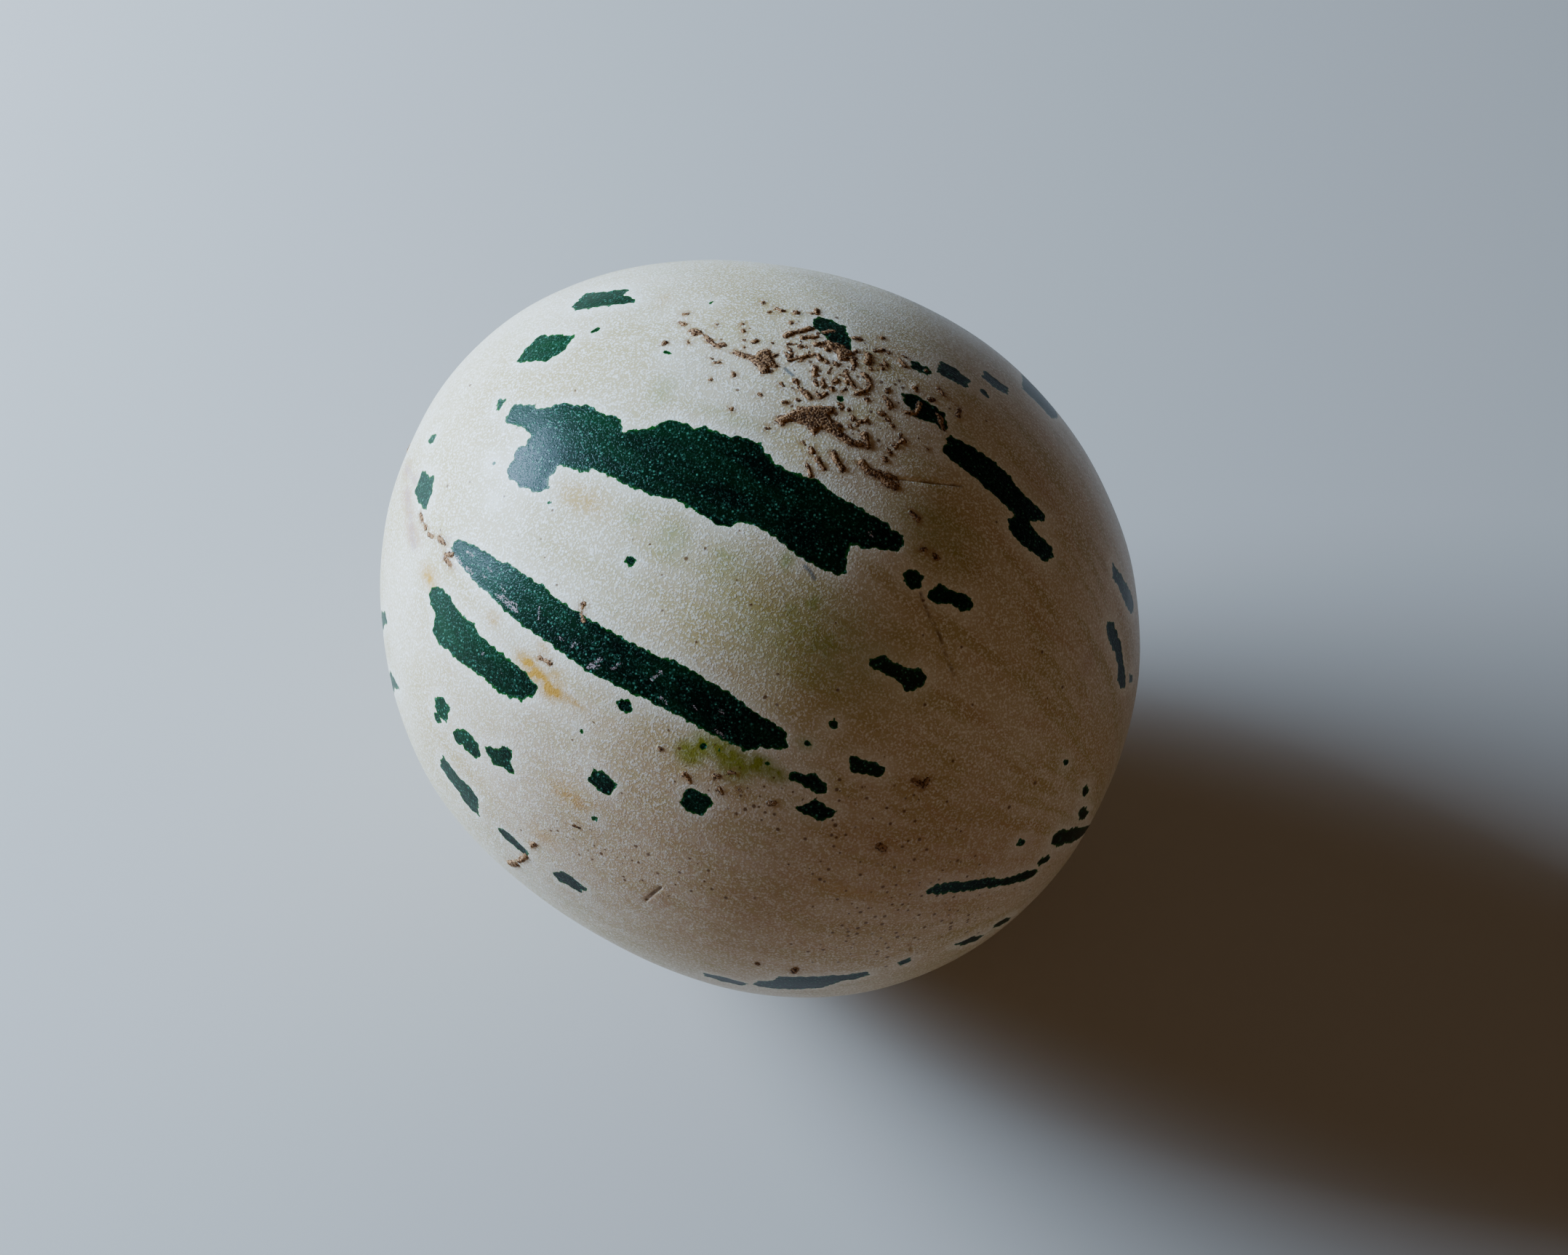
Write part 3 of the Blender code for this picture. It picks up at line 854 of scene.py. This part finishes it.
def ragged_group():
    group, given, result = new_group(
        "ragged_edge",
        [("Inside", "Float"), ("Place", "Vector"), ("Step", "Float"), ("Fray", "Float")],
        [("Mask", "Float"), ("Depth", "Float")],
    )
    clump = {"Vector": given.outputs["Place"], "Scale": 1 / 1.25, "Randomness": 0.9, "Smoothness": 0.25}
    cells = put(group, "TexVoronoi", clump, feature="SMOOTH_F1")
    centred = sums(group, "SUBTRACT", 0.5, cells.outputs["Distance"])
    stepped = sums(group, "MULTIPLY_ADD", centred, given.outputs["Step"], given.outputs["Inside"])
    fray = sums(group, "SUBTRACT", noise(group, given.outputs["Place"], 0.35), 0.5)
    depth = sums(group, "MULTIPLY_ADD", fray, given.outputs["Fray"], stepped)
    group.links.new(depth, result.inputs["Depth"])
    group.links.new(ramp(group, depth, -0.06, 0.06), result.inputs["Mask"])
    return group


ragged_edge = ragged_group()
print("group", ragged_edge.name, "with", len(ragged_edge.nodes), "nodes")

# %% [markdown]
# ### Colours
#
# The ivory is never one colour: it drifts from cream to olive and to a rosy tan, in streaks
# that follow the fruit. Its pores are a shade paler than the skin between them. The green
# is nearly black where it is thick and fresher towards the stem end.

# %% Ivory and green
IVORY = (0.56, 0.42, 0.21, 1)
CREAM = (0.69, 0.56, 0.36, 1)
OLIVE = (0.38, 0.30, 0.06, 1)
TAN = (0.48, 0.25, 0.10, 1)
MARGIN = (0.88, 0.78, 0.62, 1)
PORE_PALE = (0.98, 0.89, 0.74, 1)
GREEN_DEEP = (0.0003, 0.0030, 0.0012, 1)
GREEN_FRESH = (0.0006, 0.0300, 0.0070, 1)
GREEN_RIM = (0.0100, 0.1000, 0.0080, 1)
GREEN_PORE = (0.0600, 0.2200, 0.1300, 1)
# How far apart the dots are and how wide, in millimetres, and how much of the threads shows.
IVORY_PORES = {"Spacing": 0.62, "Size": 0.46, "Threads": 0.8}
GREEN_PORES = {"Spacing": 0.62, "Size": 0.40, "Threads": 0.2}
SPECKS = {"Spacing": 1.25, "Size": 0.36, "Threads": 0.0}
ALONG_CORE = (0.3, 1, 1)              # draws a noise out along the fruit


def group_node(tree, group, inputs):
    made = tree.nodes.new("ShaderNodeGroup")
    made.node_tree = group
    for name, value in inputs.items():
        if isinstance(value, bpy.types.NodeSocket):
            tree.links.new(value, made.inputs[name])
        else:
            made.inputs[name].default_value = value
    return made.outputs


def ivory_colour(tree, place, flow):
    stretched = put(tree, "Mapping", {"Vector": flow, "Scale": ALONG_CORE}).outputs[0]
    olive_patches = soft_patches(tree, stretched, 4.5, 3, 0.46, 0.62)
    tan_streaks = soft_patches(tree, stretched, 3.2, 3, 0.45, 0.75)
    drift = soft_patches(tree, place, 30, 3, 0.35, 0.65)
    ripe = ramp(tree, stored(tree, "ripeness"), 0.25, 0.8)
    colour = blend_in(tree, drift, CREAM, IVORY)
    share = sums(tree, "MULTIPLY_ADD", ripe, 0.55, 0.16)
    colour = blend_in(tree, sums(tree, "MULTIPLY", olive_patches, share), colour, OLIVE)
    share = sums(tree, "MULTIPLY_ADD", ripe, 0.42, 0.08)
    colour = blend_in(tree, sums(tree, "MULTIPLY", tan_streaks, share), colour, TAN)
    colour = blend_in(tree, ripe, colour, TAN, 0.42)
    margin = ramp(tree, stored(tree, "green_mm"), -3.6, 0.0)
    colour = blend_in(tree, margin, colour, MARGIN, 0.4)
    fine = group_node(tree, pores, {"Place": place, **IVORY_PORES})
    bright = sums(tree, "MULTIPLY", fine["Dots"], sums(tree, "MULTIPLY_ADD", fine["Cell"], 0.50, 0.52))
    bright = sums(tree, "MULTIPLY", bright, sums(tree, "MULTIPLY_ADD", ripe, -0.3, 0.95))
    colour = blend_in(tree, bright, colour, PORE_PALE)
    return colour, fine["Dots"]


def green_colour(tree, place, flow, depth):
    stretched = put(tree, "Mapping", {"Vector": flow, "Scale": ALONG_CORE}).outputs[0]
    patchy = soft_patches(tree, stretched, 4, 3, 0.35, 0.75)
    fresh = ramp(tree, stored(tree, "ripeness"), 0.42, 0.2)
    share = sums(tree, "MULTIPLY_ADD", fresh, 0.6, sums(tree, "MULTIPLY", patchy, 0.4))
    colour = blend_in(tree, share, GREEN_DEEP, GREEN_FRESH)
    rim = ramp(tree, depth, 0.45, 0.0)
    colour = blend_in(tree, rim, colour, GREEN_RIM, 0.8)
    stars = group_node(tree, pores, {"Place": place, **GREEN_PORES})
    bright = sums(tree, "MULTIPLY", stars["Dots"], sums(tree, "POWER", stars["Cell"], 1.3))
    colour = blend_in(tree, bright, colour, GREEN_PORE, 0.9)
    return colour, stars["Dots"]


# %% [markdown]
# Stains, the tan halo round the cork and fine brown specks tint the ivory before the green
# goes over it. Scuffs, bruises, cracks and cork then lie over both, in that order. Cork is
# brown, paler with painted light on the raised parts of its mottle and nearly black with
# painted shade in its low parts, and has no shine. Waxy skin has a soft one, and light sinks
# a little way into it.

# %% The whole rind
YELLOW = (0.50, 0.24, 0.02, 1)
GREEN_STAIN = (0.18, 0.22, 0.001, 1)
# The rosy tan of the stains; laid broad over the lower side it is painted shade.
ROSY_STAIN_AND_PAINTED_SHADE = (0.42, 0.19, 0.09, 1)
SCUFF = (0.42, 0.29, 0.26, 1)
SPECK = (0.14, 0.055, 0.018, 1)
BRUISE = (0.13, 0.14, 0.14, 1)
CRACK = (0.20, 0.105, 0.045, 1)
# The cork's brown in two copies: a paler one, painted light on the raised tops of its mottle, and a nearly
# black one, painted shade in its low parts.
CORK_PAINTED_LIT_BROWN = (0.40, 0.20, 0.085, 1)
CORK_PAINTED_SHADE_BROWN = (0.050, 0.018, 0.007, 1)
CORK_HALO = (0.33, 0.155, 0.045, 1)
IVORY_ROUGHNESS = 0.27
GREEN_ROUGHNESS = 0.29
CORK_ROUGHNESS = 0.80
UNEVEN_ROUGHNESS = 0.06
WAXY = {
    "IOR": 1.45, "Specular IOR Level": 0.12,
    "Subsurface Weight": 0.12, "Subsurface Radius": (1.0, 0.7, 0.35), "Subsurface Scale": 0.004,
}
# The height of the grain of dots, of the cork's mottle and of the skin's own waves.
GRAIN_MM = 0.03
MOTTLE_MM = 0.35
WAVES_MM = 0.03


def over_edge(tree, name, place, step, fray, wider=0.0):
    """The ragged mask of a stored mark, this many millimetres wider all round."""
    inside = sums(tree, "ADD", stored(tree, name), wider)
    found = group_node(tree, ragged_edge, {"Inside": inside, "Place": place, "Step": step, "Fray": fray})
    return found["Mask"], found["Depth"]


def tinted(tree, place, ivory):
    """The bare ivory with its stains, its halo round the cork and its specks. The two broad rosy stains
    also lay painted shade over the lower side.
    """
    blotch = soft_patches(tree, place, 1.6, 4, 0.35, 0.62)
    blotch = sums(tree, "MULTIPLY_ADD", blotch, 0.4, 0.6)
    # The broad rosy stains on the lower side are painted shade as well as stain.
    for name, colour, most in (("yellow", YELLOW, 1.25), ("olive", GREEN_STAIN, 1.25), ("rosy_and_painted_shade", ROSY_STAIN_AND_PAINTED_SHADE, 0.8)):
        share = sums(tree, "MULTIPLY", stored(tree, name), blotch)
        ivory = blend_in(tree, share, ivory, colour, most)
    halo = ramp(tree, stored(tree, "cork_mm"), -1.7, 0.1)
    halo = sums(tree, "MULTIPLY", halo, soft_patches(tree, place, 1.1, 3, 0.36, 0.66))
    ivory = blend_in(tree, halo, ivory, CORK_HALO, 0.9)
    specks = group_node(tree, pores, {"Place": place, **SPECKS})
    few = sums(tree, "SUBTRACT", 1.0, sums(tree, "MULTIPLY", stored(tree, "speckled"), 0.75))
    shown = sums(tree, "GREATER_THAN", specks["Cell"], few)
    return blend_in(tree, sums(tree, "MULTIPLY", specks["Dots"], shown), ivory, SPECK, 0.85)


def worn(tree, place, colour):
    """Scuffs, bruises, cracks and cork over the whole rind, and the cork's mask and mottle. The cork's
    colour is painted shade in the mottle's low parts and painted light on its tops.
    """
    scuffed, _ = over_edge(tree, "scuff_mm", place, 0.3, 1.2)
    scuffed = sums(tree, "MULTIPLY", scuffed, soft_patches(tree, place, 0.3, 2, 0.44, 0.58))
    colour = blend_in(tree, scuffed, colour, SCUFF, 0.8)
    bruised = ramp(tree, stored(tree, "bruise_mm"), -0.35, 0.3)
    colour = blend_in(tree, bruised, colour, BRUISE, 0.8)
    cracked = ramp(tree, stored(tree, "crack_mm"), -0.3, 0.25)
    cracked = sums(tree, "MULTIPLY", cracked, soft_patches(tree, place, 1.8, 3, 0.38, 0.6))
    colour = blend_in(tree, cracked, colour, CRACK, 0.75)
    corky, _ = over_edge(tree, "cork_mm", place, 0.4, 0.6, 0.2)
    # The cork's colour follows the height of its mottle: painted shade, nearly black, in the low parts, and
    # painted light, a paler brown, on the raised tops.
    mottle = noise(tree, place, 0.45, 4)
    cork = blend_in(tree, ramp(tree, mottle, 0.38, 0.60), CORK_PAINTED_SHADE_BROWN, CORK_PAINTED_LIT_BROWN)
    return blend_in(tree, corky, colour, cork), corky, mottle


def rind_material():
    material = bpy.data.materials.new("melon_rind")
    material.use_nodes = True
    tree = material.node_tree
    tree.nodes.clear()
    where = put(tree, "TexCoord").outputs["Object"]
    place = put(tree, "VectorMath", {0: where, "Scale": 1 / MM}, operation="SCALE").outputs[0]
    flow = stored(tree, "flow_mm", "Vector")

    green_mask, green_depth = over_edge(tree, "green_mm", place, 0.85, 0.35, 0.2)
    ivory, fine_dots = ivory_colour(tree, place, flow)
    ivory = tinted(tree, place, ivory)
    dark, stars = green_colour(tree, place, flow, green_depth)
    colour = blend_in(tree, green_mask, ivory, dark)
    colour, corky, mottle = worn(tree, place, colour)

    rough = sums(tree, "MULTIPLY_ADD", green_mask, GREEN_ROUGHNESS - IVORY_ROUGHNESS, IVORY_ROUGHNESS)
    rough = sums(tree, "MULTIPLY_ADD", noise(tree, place, 9), UNEVEN_ROUGHNESS, rough)
    rough = sums(tree, "MAXIMUM", rough, sums(tree, "MULTIPLY", corky, CORK_ROUGHNESS))
    grain = sums(tree, "MULTIPLY", sums(tree, "MAXIMUM", fine_dots, stars), GRAIN_MM)
    height = sums(tree, "MULTIPLY_ADD", sums(tree, "MULTIPLY", corky, mottle), MOTTLE_MM, grain)
    height = sums(tree, "MULTIPLY_ADD", noise(tree, place, 2.4, 3), WAVES_MM, height)
    height = sums(tree, "MULTIPLY", height, MM)
    bump = put(tree, "Bump", {"Height": height, "Distance": 1.0, "Strength": 1.0})

    settings = {"Base Color": colour, "Roughness": rough, "Normal": bump.outputs[0], **WAXY}
    shader = put(tree, "BsdfPrincipled", settings)
    output = put(tree, "OutputMaterial")
    tree.links.new(shader.outputs[0], output.inputs["Surface"])
    return material


rind = rind_material()
skin.materials.append(rind)
print("material", rind.name, "with", len(rind.node_tree.nodes), "nodes")

# %% [markdown]
# ## The piece
#
# The skin is the one piece. It stands for the whole solid, which is hidden but stays, and
# it rides on the only body there is.

# %% Hand the piece to the frame
melon_skin = bpy.data.objects.new("melon_skin", skin)
bpy.context.scene.collection.objects.link(melon_skin)
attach(melon_skin, "root")
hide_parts("melon")

# %% [markdown]
# ## Table, camera and light
#
# The camera looks down on the fruit from the side of the blossom end, and it is far enough
# away that nothing bulges. A soft cool light stands low on the left, as a window would, and
# a far weaker warm one fills the shadow from the right.

# %% Table
TABLE_HALF = 1.5
PALE = (0.50, 0.43, 0.35, 1)

table_mesh = bmesh.new()
bmesh.ops.create_grid(table_mesh, x_segments=1, y_segments=1, size=TABLE_HALF)
table_data = bpy.data.meshes.new("table")
table_mesh.to_mesh(table_data)
table_mesh.free()
table = bpy.data.objects.new("table", table_data)
bpy.context.scene.collection.objects.link(table)
paper = bpy.data.materials.new("pale_table")
paper.use_nodes = True
finish = paper.node_tree.nodes["Principled BSDF"].inputs
finish["Base Color"].default_value = PALE
finish["Roughness"].default_value = 0.85
table_data.materials.append(paper)

# %% Camera
CAMERA_AZIMUTH = math.radians(24.3)
CAMERA_ELEVATION = math.radians(60)
CAMERA_DISTANCE = 0.745
LENS = 90
SENSOR = 36
LOOK_RIGHT = 0.0060                   # the camera looks this far right of the core's middle
LOOK_UP = 0.0021

sideways = Vector((math.cos(CAMERA_AZIMUTH), math.sin(CAMERA_AZIMUTH), 0))
backward = Vector((
    math.sin(CAMERA_AZIMUTH) * math.cos(CAMERA_ELEVATION),
    -math.cos(CAMERA_AZIMUTH) * math.cos(CAMERA_ELEVATION),
    math.sin(CAMERA_ELEVATION),
))
upward = backward.cross(sideways)
target = middle + sideways * LOOK_RIGHT + upward * LOOK_UP

camera_data = bpy.data.cameras.new("camera")
camera_data.lens = LENS
camera_data.sensor_width = SENSOR
camera = bpy.data.objects.new("camera", camera_data)
turned = Matrix((sideways, upward, backward)).transposed().to_4x4()
camera.matrix_world = Matrix.Translation(target + backward * CAMERA_DISTANCE) @ turned
bpy.context.scene.collection.objects.link(camera)
bpy.context.scene.camera = camera

# %% Lights


def soft_light(name, way, distance, size, watts, colour):
    """A square soft light that shines on the fruit from the way given."""
    data = bpy.data.lights.new(name, "AREA")
    data.shape = "RECTANGLE"
    data.size, data.size_y = size
    data.energy = watts
    data.color = colour
    light = bpy.data.objects.new(name, data)
    light.location = middle + way.normalized() * distance
    light.rotation_euler = way.to_track_quat("Z", "Y").to_euler()
    bpy.context.scene.collection.objects.link(light)


COOL = (0.45, 0.66, 1.0)
WARM = (1.0, 0.70, 0.42)
soft_light("window", Vector((-1.0, -0.06, 0.33)), 0.9, (0.46, 0.38), 46, COOL)
soft_light("fill", Vector((1.0, -0.6, 0.9)), 1.2, (1.2, 1.2), 1.1, WARM)
world = bpy.data.worlds.new("studio")
world.use_nodes = True
sky = world.node_tree.nodes["Background"].inputs
sky["Color"].default_value = (1.0, 0.90, 0.78, 1)
sky["Strength"].default_value = 0.05
bpy.context.scene.world = world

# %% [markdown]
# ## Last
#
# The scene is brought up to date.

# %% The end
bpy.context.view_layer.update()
